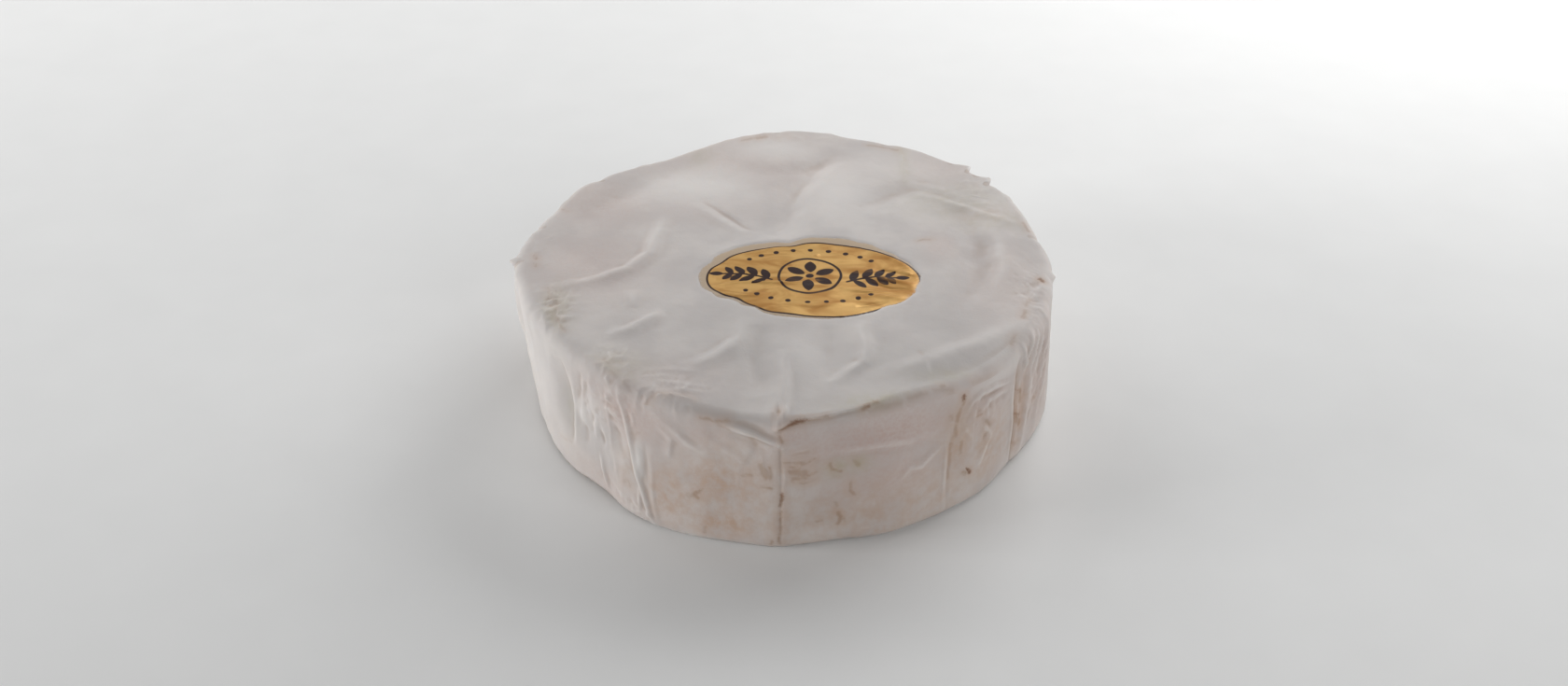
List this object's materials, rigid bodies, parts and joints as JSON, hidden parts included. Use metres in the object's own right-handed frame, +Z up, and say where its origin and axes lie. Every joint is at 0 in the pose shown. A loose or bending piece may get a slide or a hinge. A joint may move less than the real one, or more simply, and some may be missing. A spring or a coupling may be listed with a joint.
{
  "type": "cheese wheel",
  "caption": "Small soft-ripened cheese wheel with a creased white bloomy rind, a pressed seam down its front and an oval gold foil label on its top.",
  "frame": {"origin": "middle of the wheel's box seen from above, on the plane it stands on", "axes": "+Z up through the wheel; -Y is the front, where the rind has its straight pressed seam; +X is the right seen from the front, along the label's length"},
  "size_m": [0.1706, 0.1716, 0.0482],
  "materials": {
    "bloomy_rind": "velvety white mould rind with pink-grey, tan and brown patches, matt; stands in for food",
    "gold_foil": "thin wrinkled gold foil sticker, satin, with dark brown print and a paler translucent margin"
  },
  "bodies": {
    "root": {"cheese_wheel": "bloomy_rind", "foil_label": "gold_foil"}
  },
  "joints": []
}
